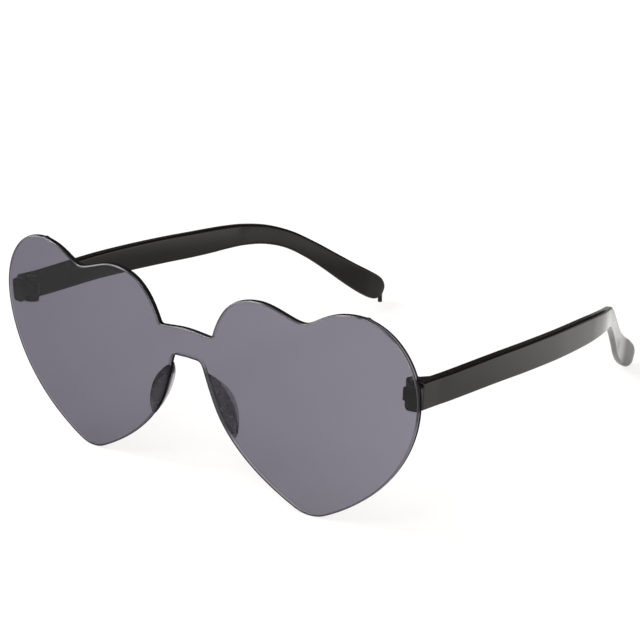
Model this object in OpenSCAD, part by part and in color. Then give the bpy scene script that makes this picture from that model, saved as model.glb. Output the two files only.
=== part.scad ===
// Heart shaped sunglasses with a one-piece tinted front and folding temples.
// The front is one curved sheet cut as two hearts joined by a bridge. A half-moon
// nose pad sits on each side of the nose arch. An end piece bonded behind each
// outer edge carries the middle knuckle of a screwed hinge, and the temple's head
// has the two knuckles around it.
// Wearer's left is +X. The front faces -Y and the temples run back to +Y.

/* [Front] */
// Overall width of the heart front
front_w = 145.5; // [130:0.5:160]
// Overall height of the heart front
front_h = 59.4; // [50:0.2:68]
// Thickness of the tinted sheet
front_t = 2; // [1.6:0.1:2.6]
// Radius of the front's wrap, seen from above
wrap_r = 498; // [350:1:900]

/* [Nose pads] */
// Height of a nose pad
pad_h = 16.9; // [14:0.2:18.6]
// Greatest width of a pad's root on the front
pad_w = 5.4; // [3.5:0.1:6.5]
// How far a pad stands behind the front
pad_depth = 3.9; // [3:0.1:6]
// Drop from the bridge line to the top of a pad
pad_drop = 11; // [10.4:0.1:11.8]
// How much the nose side of a pad flares outward towards the back
pad_flare = 2.3; // [1:0.1:3]

/* [End pieces] */
// Width of the bonded plate
plate_w = 4.1; // [3.6:0.1:5]
// Height of the bonded plate
plate_h = 6.8; // [6.4:0.1:7.4]
// Inset of the plate's outer side from the widest point of the front
plate_inset = 0.85; // [0.6:0.05:1.4]
// Corner radius of the plate
plate_r = 1.1; // [0.5:0.1:1.5]
// Thickness of the adhesive behind the front
bond = 0.05; // [0.02:0.01:0.1]

/* [Hinges] */
// Inset of the hinge axis from the widest point of the front
hinge_inset = 5.15; // [4.9:0.05:5.6]
// Drop of the hinge's middle below the bridge line
hinge_drop = 4.75; // [3:0.1:6]
// Distance from the middle of the front's back face to the hinge axis
hinge_back = 8.65; // [8.5:0.05:9.5]
// Backward tilt of the hinge axis against the front, in degrees
hinge_tilt = 7.3; // [4:0.1:9]
// Radius of the hinge knuckles
knuckle_r = 2; // [1.8:0.05:2.1]
// Height of the end piece's middle knuckle
tongue_h = 3.5; // [3:0.1:4]
// Axial gap between neighbouring knuckles
knuckle_gap = 0.1; // [0.06:0.01:0.15]
// Gap between the temple's front face and the end piece
butt_gap = 0.08; // [0.05:0.01:0.12]
// Diameter of the hinge screw
screw_d = 1.4; // [1.2:0.1:1.6]
// Radial running clearance of the screw
screw_clear = 0.05; // [0.03:0.01:0.08]
// Diameter of the screw's head
screw_head_d = 2.4; // [2.2:0.1:2.6]
// Height of the screw's head
screw_head_h = 0.8; // [0.6:0.1:1]
// Width of the screw's slot
slot_w = 0.35; // [0.25:0.05:0.45]

/* [Temples] */
// Length from the hinge axis to the end of the temple
temple_l = 146; // [128:0.5:158]
// Height of the temple behind the hinge
temple_h = 7.65; // [7.2:0.05:8.4]
// Thickness of the temple behind the hinge
temple_t = 3; // [2.6:0.1:3.4]
// Distance from the hinge axis to the temple's outer face
temple_side = 4.3; // [4.1:0.05:4.6]
// Inward bend of the temple's tip
tip_inset = 22.6; // [16:0.1:28]
// Drop of the temple's tip
tip_drop = 24.9; // [18:0.2:29]
// Length of the rounding at the tip
tip_round = 4.2; // [3:0.1:5]
// Lift of the right tip, which stands on its gate stub
stub_rise = 1.8; // [1:0.1:2.2]
// Diameter of the gate stub under the right tip
stub_d = 1.5; // [1:0.1:2]

/* [Hidden] */

// Colours
smoke = [0.42, 0.41, 0.47, 0.75];
smoke_pad = [0.38, 0.38, 0.42, 0.9];
gloss_black = [0.06, 0.06, 0.06];
block_black = [0.09, 0.09, 0.09];
steel = [0.72, 0.7, 0.66];

// Overrun of cutting and blank solids past what they cut
over = 1;
round_fn = 96;
wrap_fn = 1440;

// Shares of the half width and of the whole height, each with the heading of the
// outline in degrees and the pull of its curve before and after the point. The
// outline runs from the bridge's top, over the two lobes, down to the tip and up
// the nose side to the arch.
heart_shares = [
    // bridge top and the corner where the heart leaves it
    [0, 0.015, 0, 0.33, 0.33],
    [0.113, 0.004, -5, 0.33, 0.5],
    [0.131, 0.018, 69, 0.5, 0.4],
    // inner lobe, notch and outer lobe
    [0.351, 0.23, 0, 0.44, 0.36],
    [0.54, 0.176, 0, 0.22, 0.1],
    [0.755, 0.2585, 0, 0.53, 0.38],
    // widest point and the sweep down to the tip
    [1, -0.08, -90, 0.4, 0.26],
    [0.622, -0.714, -153.5, 0.49, 0.36],
    [0.543, -0.74, -180, 0.36, 0.36],
    [0.47, -0.718, -206, 0.36, 0.46],
    // nose side, shoulder and the crown of the arch
    [0.13, -0.345, -246, 0.24, 0.33],
    [0.0775, -0.163, -253, 0.33, 0.5],
    [0.041, -0.1275, -181, 0.5, 0.33],
    [0, -0.126, -180, 0.33, 0.33]];
// Straight runs on each stretch of that outline
heart_steps = [2, 4, 14, 8, 8, 14, 22, 4, 4, 14, 5, 6, 2];

// Shares along the temple, from the hinge to the tip: length, inset of the outer
// face (of the tip's inset), drop (of the tip's drop), height, thickness and lift
// (of the right tip's lift)
temple_shares = [
    [-0.03, 0.01, 0, 0.96, 1, 0],
    [0.03, 0, 0, 0.96, 1, 0],
    [0.08, -0.017, -0.007, 0.98, 0.99, 0],
    [0.2, -0.044, -0.031, 1.015, 0.95, 0],
    [0.305, -0.046, -0.036, 1.05, 0.92, 0],
    [0.408, -0.022, -0.036, 1.07, 0.89, 0],
    [0.482, 0.017, -0.035, 1.07, 0.87, 0],
    [0.545, 0.06, -0.035, 1.045, 0.85, 0.08],
    [0.59, 0.1, -0.034, 0.99, 0.82, 0.2],
    [0.64, 0.172, -0.026, 0.91, 0.78, 0.35],
    [0.693, 0.3, 0.01, 0.825, 0.72, 0.5],
    [0.744, 0.455, 0.11, 0.765, 0.66, 0.7],
    [0.796, 0.6, 0.285, 0.785, 0.63, 0.9],
    [0.846, 0.735, 0.48, 0.875, 0.62, 1],
    [0.894, 0.862, 0.67, 1.005, 0.62, 1],
    [0.934, 0.94, 0.812, 1.09, 0.62, 1],
    [0.966, 0.968, 0.91, 1.07, 0.62, 1],
    [1, 0.99, 1, 0.86, 0.62, 1]];
temple_rings = 46;
cap_rings = 8;
cap_pow = 2.5;
// Corner of the temple's section at the hinge and at the ear, as shares of its thickness
arm_corner_share = 0.13;
ear_corner_share = 0.4;
corner_points = 4;

// Half sizes and the surfaces that the pieces sit on
half_w = front_w / 2;
back_r = wrap_r - front_t;
seat_r = back_r - bond;
function front_y(x) = wrap_r - sqrt(wrap_r * wrap_r - x * x);
function seat_y(x) = wrap_r - sqrt(seat_r * seat_r - x * x);

// A point on a cubic stretch between two knots of the outline
function heading(a) = [cos(a), sin(a)];
function knot(k) = [heart_shares[k][0] * half_w, heart_shares[k][1] * front_h];
function cubic(a, b, c, d, t) =
    a * pow(1 - t, 3) + 3 * b * t * pow(1 - t, 2) + 3 * c * t * t * (1 - t) + d * pow(t, 3);
function stretch_point(k, t) =
    let (
        a = knot(k),
        d = knot(k + 1),
        pull = norm(d - a)
    )
    cubic(a, a + pull * heart_shares[k][4] * heading(heart_shares[k][2]),
        d - pull * heart_shares[k + 1][3] * heading(heart_shares[k + 1][2]), d, t);
half_outline = [for (k = [0 : len(heart_steps) - 1])
    for (i = [0 : heart_steps[k] - 1]) stretch_point(k, i / heart_steps[k])];
last_point = knot(len(heart_steps));
whole_outline = concat(half_outline, [last_point],
    [for (i = [len(half_outline) - 1 : -1 : 1]) [-half_outline[i][0], half_outline[i][1]]]);
heart_low = min([for (p = half_outline) p[1]]);
heart_low_x = knot(8)[0];

// Nose side of the outline at a height, found on the stretches that pass it
nose_side = [for (p = half_outline) if (p[0] < knot(9)[0] && p[1] < knot(11)[1]) p];
function nose_x(z) = lookup(z, [for (p = nose_side) [p[1], p[0]]]);

// Hinge axis at mid height, in the front's frame
hinge_x = half_w - hinge_inset;
hinge_y = front_t + hinge_back;
hinge_z = -hinge_drop;
butt_y = knuckle_r + butt_gap;
side_w = temple_side + hinge_inset;
head_h = temple_h * temple_shares[1][3];
prong_h = (head_h - tongue_h) / 2 - knuckle_gap;

// Smooth curve through the rows of the temple's table
function spline(a, b, c, d, t) =
    0.5 * (2 * b + (c - a) * t + (2 * a - 5 * b + 4 * c - d) * t * t
        + (3 * b - a - 3 * c + d) * t * t * t);
last_row = len(temple_shares) - 2;
function temple_row(u) =
    let (
        s = 1 + u * last_row,
        k = min(floor(s), last_row),
        a = temple_shares[k - 1],
        b = temple_shares[k],
        c = temple_shares[k + 1],
        d = k + 2 > last_row + 1 ? 2 * c - b : temple_shares[k + 2]
    )
    spline(a, b, c, d, s - k);
function face_at(u, rise) =
    let (r = temple_row(u))
    [temple_side - r[1] * tip_inset, r[0] * temple_l, r[5] * rise - r[2] * tip_drop];
probe = 0.004;
function run_at(u, rise) = face_at(min(u + probe, 1), rise) - face_at(max(u - probe, 0), rise);
// Outward and upward directions of the section, and its half sizes
function out_at(u) = let (r = run_at(u, 0)) [r[1], -r[0], 0] / norm([r[0], r[1]]);
function up_at(u, rise) = let (r = run_at(u, rise)) cross(out_at(u), r) / norm(r);
function size_at(u) =
    let (r = temple_row(u))
    [r[4] * temple_t, r[3] * temple_h];

// Rounded rectangle section, corner by corner
function section(w, h, r) =
    [for (q = [0 : 3])
        for (i = [0 : corner_points - 1])
            let (
                a = 90 * q + 90 * i / (corner_points - 1),
                cx = (w / 2 - r) * (q == 0 || q == 3 ? 1 : -1),
                cz = (h / 2 - r) * (q < 2 ? 1 : -1)
            )
            [cx + r * cos(a), cz + r * sin(a)]];

// Rings of the temple: body at even steps, then the rounded tip
cap_start = 1 - tip_round / (temple_l * (temple_shares[last_row + 1][0] - temple_shares[last_row][0])
    * (last_row));
ring_places = concat(
    [for (i = [0 : temple_rings - 1]) cap_start * i / temple_rings],
    [for (i = [0 : cap_rings]) cap_start + (1 - cap_start) * sin(90 * i / cap_rings)]);
function cap_scale(u) =
    u <= cap_start ? 1
    : let (s = (u - cap_start) / (1 - cap_start))
    max(pow(max(1 - pow(s, cap_pow), 0), 1 / cap_pow), 0.12);
function ring(u, rise) =
    let (
        f = face_at(u, rise),
        o = out_at(u),
        v = up_at(u, rise),
        s = size_at(u),
        k = cap_scale(u),
        kt = sqrt(k),
        mid = f - o * s[0] / 2,
        c = arm_corner_share + (ear_corner_share - arm_corner_share) * sin(90 * u),
        r = min(c * s[0] + (1 - k) * s[0] / 4, 0.49 * s[0] * kt)
    )
    [for (p = section(s[0] * kt, s[1] * k, r)) mid + o * p[0] + v * p[1]];
left_rings = [for (u = ring_places) ring(u, 0)];
right_rings = [for (u = ring_places) ring(u, stub_rise)];
ring_size = 4 * corner_points;

// From the hinge's frame to the front's
function to_front(p) =
    [p[0] + hinge_x,
     p[1] * cos(hinge_tilt) + p[2] * sin(hinge_tilt) + hinge_y,
     -p[1] * sin(hinge_tilt) + p[2] * cos(hinge_tilt) + hinge_z];

// Lean of the front at which the heart tips and the left temple's tip share one floor
function depth_of(p, a) = p[1] * sin(a) + p[2] * cos(a);
function rear_part(rings) = [for (i = [temple_rings : len(rings) - 1])
    for (p = rings[i]) to_front(p)];
tip_points = rear_part(left_rings);
heart_foot = [heart_low_x, front_y(heart_low_x), heart_low];
function lowest(points, a, i = 0, best = 0) =
    i == len(points) ? best
    : lowest(points, a, i + 1, depth_of(points[i], a) < depth_of(points[best], a) ? i : best);
first_lean = atan((heart_low - min([for (p = tip_points) p[2]])) / temple_l);
tip_foot = tip_points[lowest(tip_points, first_lean)];
lean = atan((heart_foot[2] - tip_foot[2]) / (tip_foot[1] - heart_foot[1]));
lift = -depth_of(heart_foot, lean);
rear = max([for (p = concat(tip_points, rear_part(right_rings)))
    p[1] * cos(lean) - p[2] * sin(lean)]);
nose_line = min([for (p = half_outline) front_y(p[0]) * cos(lean) - p[1] * sin(lean)]);
centre_y = (rear + nose_line) / 2;

// Frames: the whole object on its floor, and one hinge
module stand() {
    translate([0, -centre_y, lift]) rotate([lean, 0, 0]) children();
}
module at_hinge() {
    translate([hinge_x, hinge_y, hinge_z]) rotate([-hinge_tilt, 0, 0]) children();
}
module on_side(side) {
    if (side > 0) stand() children();
    else stand() mirror([1, 0, 0]) children();
}

// Cylinder about the wrap's axis, tall enough for any piece of the front
module wrap_cylinder(r) {
    translate([0, wrap_r, -front_h]) cylinder(r = r, h = 2 * front_h, $fn = wrap_fn);
}

// Tinted front: the two-heart outline cut from the wrapped sheet
module heart_front() {
    color(smoke) stand() intersection() {
        rotate([90, 0, 0]) translate([0, 0, -front_w / 4])
            linear_extrude(height = front_w / 2) polygon(whole_outline);
        difference() {
            wrap_cylinder(wrap_r);
            wrap_cylinder(back_r);
        }
    }
}

// Nose pad: level sections stacked from the bottom of the half-moon to its top
pad_levels = 16;
pad_points = 8;
// Fullness of the half-moon's two ends and where its widest level lies
pad_belly_share = 0.5;
pad_crest_share = 0.6;
pad_skirt_share = 0.06;
// Distance from the edge of the nose arch to the pad's root
pad_edge = 0.2;
function pad_full(s, belly, fullness) =
    let (t = s < belly ? s / belly : (1 - s) / (1 - belly))
    max(pow(sin(90 * t), fullness), pad_skirt_share);
function pad_section(s) =
    let (
        z = -pad_drop - pad_h * (1 - s),
        w = pad_w * pad_full(s, pad_belly_share, 0.65),
        d = pad_depth * pad_full(s, pad_crest_share, 0.9),
        x = nose_x(z) + pad_edge,
        crest = x + pad_flare * pad_full(s, pad_crest_share, 0.9)
    )
    concat(
        [for (i = [0 : pad_points])
            let (a = 90 * i / pad_points)
            [crest + (x - crest) * cos(a), seat_y(x) + d * sin(a), z]],
        [for (i = [1 : pad_points])
            let (a = 90 * i / pad_points)
            [crest + (x + w - crest) * sin(a), seat_y(x + w * i / pad_points) + d * cos(a), z]]);
pad_rings = [for (i = [0 : pad_levels]) pad_section((1 - cos(180 * i / pad_levels)) / 2)];

// Closed solid from rings of equal size, first to last
module loft(rings) {
    n = len(rings[0]);
    m = len(rings);
    polyhedron(
        points = [for (r = rings) for (p = r) p],
        faces = concat(
            [[for (j = [n - 1 : -1 : 0]) j]],
            [for (i = [0 : m - 2]) for (j = [0 : n - 1])
                [i * n + j, (i + 1) * n + (j + 1) % n, (i + 1) * n + j]],
            [for (i = [0 : m - 2]) for (j = [0 : n - 1])
                [i * n + j, i * n + (j + 1) % n, (i + 1) * n + (j + 1) % n]],
            [[for (j = [0 : n - 1]) (m - 1) * n + j]]),
        convexity = 6);
}
module nose_pad(side) {
    color(smoke_pad) on_side(side) loft(pad_rings);
}
module nose_pad_left() {
    nose_pad(1);
}
module nose_pad_right() {
    nose_pad(-1);
}

// Sides of the middle knuckle's root, either way from the hinge axis
root_in = knuckle_r * 0.68;
root_out = knuckle_r * 0.88;

// End piece: bonded plate with the hinge's middle knuckle behind it
module end_piece(side) {
    color(block_black) on_side(side) difference() {
        union() {
            // Plate between the front and the temple's front face
            intersection() {
                translate([half_w - plate_inset - plate_w / 2, hinge_y, hinge_z]) rotate([90, 0, 0])
                    linear_extrude(height = hinge_y) polygon(section(plate_w, plate_h, plate_r));
                wrap_cylinder(seat_r);
                at_hinge() translate([-side_w, -hinge_y - butt_y, -front_h / 2])
                    cube([2 * side_w, hinge_y, front_h]);
            }
            // Middle knuckle and its straight root
            at_hinge() translate([0, 0, -tongue_h / 2])
                cylinder(r = knuckle_r, h = tongue_h, $fn = round_fn);
            intersection() {
                at_hinge() translate([-root_in, -hinge_back, -tongue_h / 2])
                    cube([root_in + root_out, hinge_back, tongue_h]);
                wrap_cylinder(seat_r);
            }
        }
        at_hinge() translate([0, 0, -tongue_h])
            cylinder(d = screw_d + 2 * screw_clear, h = 2 * tongue_h, $fn = round_fn);
    }
}
module end_piece_left() {
    end_piece(1);
}
module end_piece_right() {
    end_piece(-1);
}

// Plan of the temple's head: butt face, outer face and the taper round the knuckle
head_l = 5.4;
taper_l = 2.2;
module head_plan() {
    polygon([[0, -knuckle_r], [temple_side, -knuckle_r],
        [temple_side, head_l], [temple_side - temple_t, head_l],
        [temple_side - temple_t, knuckle_r + taper_l], [0, knuckle_r]]);
    circle(r = knuckle_r, $fn = round_fn);
}
module head() {
    difference() {
        translate([0, 0, -head_h / 2]) linear_extrude(height = head_h) head_plan();
        // Slot for the middle knuckle
        translate([0, 0, -tongue_h / 2 - knuckle_gap])
            cylinder(r = knuckle_r + knuckle_gap, h = tongue_h + 2 * knuckle_gap, $fn = round_fn);
        translate([-knuckle_r - over, -knuckle_r - over, -tongue_h / 2 - knuckle_gap])
            cube([knuckle_r + over + root_out + knuckle_gap, knuckle_r + over,
                tongue_h + 2 * knuckle_gap]);
    }
}

// Where the gate stub stands, as a share of the rings' run
stub_place_share = 0.983;
stub_sink = 2.4;
module gate_stub() {
    foot = to_front(face_at(stub_place_share, stub_rise)
        - out_at(stub_place_share) * size_at(stub_place_share)[0] / 2);
    rotate([-lean, 0, 0])
        translate([foot[0], foot[1] * cos(lean) - foot[2] * sin(lean), -lift])
        cylinder(d = stub_d, h = stub_rise + stub_sink, $fn = round_fn / 4);
}

// Temple: hinge head, blade and ear piece in one moulding
module temple(side) {
    color(gloss_black) on_side(side) {
        at_hinge() difference() {
            union() {
                head();
                loft(side > 0 ? left_rings : right_rings);
            }
            translate([0, 0, -head_h])
                cylinder(d = screw_d + 2 * screw_clear, h = 2 * head_h, $fn = round_fn);
            translate([0, 0, head_h / 2 - screw_head_h])
                cylinder(d = screw_head_d + 2 * screw_clear, h = screw_head_h + over, $fn = round_fn);
        }
        if (side < 0) gate_stub();
    }
}
module temple_left() {
    temple(1);
}
module temple_right() {
    temple(-1);
}

// Hinge screw: slotted head in its counterbore and a plain shank
module hinge_screw(side) {
    color(steel) on_side(side) at_hinge() difference() {
        union() {
            translate([0, 0, -head_h / 2]) cylinder(d = screw_d, h = head_h - screw_head_h, $fn = round_fn);
            translate([0, 0, head_h / 2 - screw_head_h])
                cylinder(d = screw_head_d, h = screw_head_h, $fn = round_fn);
        }
        translate([-screw_head_d, -slot_w / 2, head_h / 2 - screw_head_h / 2])
            cube([2 * screw_head_d, slot_w, screw_head_h]);
    }
}
module hinge_screw_left() {
    hinge_screw(1);
}
module hinge_screw_right() {
    hinge_screw(-1);
}

heart_front();
nose_pad_left();
nose_pad_right();
end_piece_left();
end_piece_right();
temple_left();
temple_right();
hinge_screw_left();
hinge_screw_right();
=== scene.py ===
import bmesh
import bpy
import math
from mathutils import Matrix, Vector
from mathutils.geometry import delaunay_2d_cdt


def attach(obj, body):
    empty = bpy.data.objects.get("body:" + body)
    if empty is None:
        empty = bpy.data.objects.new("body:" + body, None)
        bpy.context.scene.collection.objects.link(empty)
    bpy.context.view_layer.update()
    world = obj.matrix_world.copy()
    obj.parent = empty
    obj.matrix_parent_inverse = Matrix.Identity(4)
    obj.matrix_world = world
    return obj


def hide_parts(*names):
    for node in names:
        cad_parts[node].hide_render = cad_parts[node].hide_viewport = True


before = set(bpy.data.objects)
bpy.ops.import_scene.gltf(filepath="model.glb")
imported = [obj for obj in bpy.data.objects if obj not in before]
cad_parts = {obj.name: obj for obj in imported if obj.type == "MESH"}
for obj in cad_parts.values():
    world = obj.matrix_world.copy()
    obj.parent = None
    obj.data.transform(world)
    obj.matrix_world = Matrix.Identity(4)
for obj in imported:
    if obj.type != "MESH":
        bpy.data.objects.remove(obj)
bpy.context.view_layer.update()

# The part's own sizes, in millimetres and degrees, as in its source
MM = 0.001
# Front: width, height, thickness, and radius of its wrap
FRONT_W, FRONT_H, FRONT_T, WRAP_R = 145.5, 59.4, 2.0, 498.0
# Nose pads: height, width, depth, drop below the datum, flare of the crest, and inset
PAD_H, PAD_W, PAD_DEPTH, PAD_DROP, PAD_FLARE, PAD_EDGE = 16.9, 5.4, 3.9, 11.0, 2.3, 0.2
# End pieces: width, height, inset from the side and corner radius of the plate, and the
# adhesive gap before it
PLATE_W, PLATE_H, PLATE_INSET, PLATE_R, BOND = 4.1, 6.8, 0.85, 1.1, 0.05
# Hinge axis: inset from the side, drop, distance behind the front, and backward tilt
HINGE_INSET, HINGE_DROP, HINGE_BACK, HINGE_TILT = 5.15, 4.75, 8.65, 7.3
# Knuckles: radius, height of the middle one, and the gaps round it and at the butt face
KNUCKLE_R, TONGUE_H, KNUCKLE_GAP, BUTT_GAP = 2.0, 3.5, 0.1, 0.08
# Screws: diameter, clearance, diameter and height of the head, and width of the slot
SCREW_D, SCREW_CLEAR, HEAD_D, HEAD_H, SLOT_W = 1.4, 0.05, 2.4, 0.8, 0.35
# Temples: length, height, thickness, and distance of the outer face from the hinge axis
TEMPLE_L, TEMPLE_H, TEMPLE_T, TEMPLE_SIDE = 146.0, 7.65, 3.0, 4.3
# Tips: inward bend, drop, length of the rounding, and lift of the right one
TIP_INSET, TIP_DROP, TIP_ROUND, TIP_RISE = 22.6, 24.9, 4.2, 1.8
# Gate stub under the right tip: diameter, height, and place as a share of the run
STUB_D, STUB_L, STUB_PLACE = 1.5, 4.2, 0.983
# Stance: backward lean of the front, and the shifts onto the middle of the floor
LEAN, LIFT, CENTRE_Y = math.radians(2.24295), 43.8609, 77.2378

LEFT, RIGHT = 1, -1
HALF_W = FRONT_W / 2
BACK_R = WRAP_R - FRONT_T
SEAT_R = BACK_R - BOND
HINGE = Vector((HALF_W - HINGE_INSET, FRONT_T + HINGE_BACK, -HINGE_DROP))
BUTT_Y = KNUCKLE_R + BUTT_GAP
BORE_R = SCREW_D / 2 + SCREW_CLEAR
# Root of the middle knuckle: how far it reaches inwards and outwards from the axis
ROOT_IN, ROOT_OUT = KNUCKLE_R * 0.68, KNUCKLE_R * 0.88

# Outline of one half: share of the half width, share of the height, heading in
# degrees, and the pull of the curve before and after the point
OUTLINE = [
    (0, 0.015, 0, 0.33, 0.33),
    (0.113, 0.004, -5, 0.33, 0.5),
    (0.131, 0.018, 69, 0.5, 0.4),
    (0.351, 0.23, 0, 0.44, 0.36),
    (0.541, 0.1755, 0, 0.25, 0.2),
    (0.755, 0.2585, 0, 0.53, 0.38),
    (1, -0.08, -90, 0.4, 0.26),
    (0.622, -0.714, -153.5, 0.49, 0.36),
    (0.543, -0.74, -180, 0.36, 0.36),
    (0.47, -0.718, -206, 0.36, 0.46),
    (0.13, -0.345, -246, 0.24, 0.33),
    (0.0775, -0.163, -253, 0.33, 0.5),
    (0.041, -0.1275, -181, 0.5, 0.33),
    (0, -0.126, -180, 0.33, 0.33),
]
# Straight runs on each stretch of the outline
OUTLINE_STEPS = [8, 12, 44, 24, 24, 44, 64, 12, 12, 40, 16, 18, 6]
# Remnants of the moulding gates on the outer lobes: their places, height and half
# width, and the height above which they are looked for
GATE_X = {LEFT: 58.3, RIGHT: 53.6}
GATE_RISE, GATE_HALF, GATE_ABOVE = 0.28, 0.6, 0.1 * FRONT_H

# Temple rows: length, inset of the outer face, drop, height, thickness and the lift of
# the right temple, as shares
TEMPLE_ROWS = [
    (-0.03, 0.01, 0, 0.96, 1, 0),
    (0.03, 0, 0, 0.96, 1, 0),
    (0.08, -0.017, -0.007, 0.98, 0.99, 0),
    (0.2, -0.044, -0.031, 1.015, 0.95, 0),
    (0.305, -0.046, -0.036, 1.05, 0.92, 0),
    (0.408, -0.022, -0.036, 1.07, 0.89, 0),
    (0.482, 0.017, -0.035, 1.07, 0.87, 0),
    (0.545, 0.06, -0.035, 1.045, 0.85, 0.08),
    (0.59, 0.1, -0.034, 0.99, 0.82, 0.2),
    (0.64, 0.172, -0.026, 0.91, 0.78, 0.35),
    (0.693, 0.3, 0.01, 0.825, 0.72, 0.5),
    (0.744, 0.455, 0.11, 0.765, 0.66, 0.7),
    (0.796, 0.6, 0.285, 0.785, 0.63, 0.9),
    (0.846, 0.735, 0.48, 0.875, 0.62, 1),
    (0.894, 0.862, 0.67, 1.005, 0.62, 1),
    (0.934, 0.94, 0.812, 1.09, 0.62, 1),
    (0.966, 0.968, 0.91, 1.07, 0.62, 1),
    (1, 0.99, 1, 0.86, 0.62, 1),
]
# Height of the temple's head, and with it of the whole hinge
BLOCK_H = TEMPLE_H * TEMPLE_ROWS[0][3]


# Frames
def stand(p):
    """From the front's frame in millimetres to the row frame in metres."""
    x, y, z = p
    return Vector((
        x,
        y * math.cos(LEAN) - z * math.sin(LEAN) - CENTRE_Y,
        y * math.sin(LEAN) + z * math.cos(LEAN) + LIFT,
    )) * MM


def at_hinge(p):
    """From the hinge's frame to the front's, both in millimetres."""
    a = math.radians(HINGE_TILT)
    x, y, z = p
    return Vector((
        x + HINGE.x,
        y * math.cos(a) + z * math.sin(a) + HINGE.y,
        -y * math.sin(a) + z * math.cos(a) + HINGE.z,
    ))


def stand_hinge(p):
    """From the hinge's frame in millimetres to the row frame in metres."""
    return stand(at_hinge(p))


def on_floor(p):
    """From the row frame in millimetres to metres."""
    return Vector(p) * MM


def arc_y(radius, x):
    """How far back the wrapped surface of that radius lies at x."""
    return WRAP_R - math.sqrt(radius * radius - x * x)


def ramp(value, low, high):
    """0 up to low, 1 from high on, and even between them."""
    return min(max((value - low) / (high - low), 0.0), 1.0)


# Mesh helpers. Points this near are one, and a cut goes this far past a surface
MERGE_DISTANCE, PAST = 0.0005 * MM, 1


def link(obj):
    """Puts an object into the scene."""
    bpy.context.scene.collection.objects.link(obj)
    return obj


def new_object(name, verts, faces, place=stand, side=LEFT):
    """A mesh object from points in millimetres, mirrored in x on the right side."""
    points = [place(p) for p in verts]
    if side == RIGHT:
        points = [Vector((-p.x, p.y, p.z)) for p in points]
        faces = [list(reversed(f)) for f in faces]
    me = bpy.data.meshes.new(name)
    me.from_pydata([tuple(p) for p in points], [], [list(f) for f in faces])
    me.validate()
    bm = bmesh.new()
    bm.from_mesh(me)
    bmesh.ops.recalc_face_normals(bm, faces=bm.faces)
    bm.to_mesh(me)
    bm.free()
    return link(bpy.data.objects.new(name, me))


def loft(rings, closed=True):
    """Points and faces of a solid through rings of equal size."""
    n = len(rings[0])
    verts = [p for r in rings for p in r]
    faces = []
    for i in range(len(rings) - 1):
        for j in range(n):
            k = (j + 1) % n
            faces.append((i * n + j, i * n + k, (i + 1) * n + k, (i + 1) * n + j))
    if closed:
        faces.append(tuple(reversed(range(n))))
        faces.append(tuple(range((len(rings) - 1) * n, len(rings) * n)))
    return verts, faces


def prism(loop, z0, z1):
    """Points and faces of a prism on a plan loop."""
    return loft([[(x, y, z0) for x, y in loop], [(x, y, z1) for x, y in loop]])


def bevel(obj, width, segments, angle):
    """Rounds the edges of a mesh that are sharper than angle, in degrees."""
    bm = bmesh.new()
    bm.from_mesh(obj.data)
    edges = [e for e in bm.edges if e.is_manifold and e.calc_face_angle(0) > math.radians(angle)]
    bmesh.ops.bevel(bm, geom=edges, offset=width * MM, segments=segments, profile=0.5,
                    affect="EDGES", clamp_overlap=True)
    bm.to_mesh(obj.data)
    bm.free()


def combine(obj, tool, how):
    """Unites a mesh with another, or cuts it by the other, and drops the other."""
    mod = obj.modifiers.new("combine", "BOOLEAN")
    mod.operation, mod.solver, mod.object = how, "EXACT", tool
    bpy.context.view_layer.update()
    done = obj.evaluated_get(bpy.context.evaluated_depsgraph_get())
    me = bpy.data.meshes.new_from_object(done)
    obj.modifiers.clear()
    old = obj.data
    obj.data = me
    bpy.data.meshes.remove(old)
    bpy.data.objects.remove(tool)


def cut(obj, side, loop, low, high):
    """Cuts a prism on a plan loop in the hinge's frame out of a mesh."""
    tool = new_object("cut", *prism(loop, low, high), stand_hinge, side)
    combine(obj, tool, "DIFFERENCE")


def soften(obj, angle):
    """Smooth shading that breaks at edges sharper than angle, in degrees."""
    bm = bmesh.new()
    bm.from_mesh(obj.data)
    bmesh.ops.remove_doubles(bm, verts=bm.verts, dist=MERGE_DISTANCE)
    for f in bm.faces:
        f.smooth = True
    for e in bm.edges:
        e.smooth = e.is_manifold and e.calc_face_angle(0) < math.radians(angle)
    bm.to_mesh(obj.data)
    bm.free()
    mod = obj.modifiers.new("weighted", "WEIGHTED_NORMAL")
    mod.keep_sharp = True


def circle_loop(radius, count, cx=0.0, cy=0.0):
    """A round loop in plan."""
    return [(cx + radius * math.cos(2 * math.pi * i / count),
             cy + radius * math.sin(2 * math.pi * i / count)) for i in range(count)]


def rounded_corner(w, h, r, q, count):
    """Points of corner q of a rounded rectangle, counted from the upper right one."""
    mx = (w / 2 - r) * (1 if q % 4 in (0, 3) else -1)
    mz = (h / 2 - r) * (1 if q % 4 < 2 else -1)
    turns = [math.pi / 2 * (q + i / (count - 1)) for i in range(count)]
    return [Vector((mx + r * math.cos(a), mz + r * math.sin(a))) for a in turns]


# Heart outline
def cubic(a, b, c, d, t):
    """The point at t of the curve with these four control points."""
    s = 1 - t
    return a * s**3 + 3 * b * t * s * s + 3 * c * t * t * s + d * t**3


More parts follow.
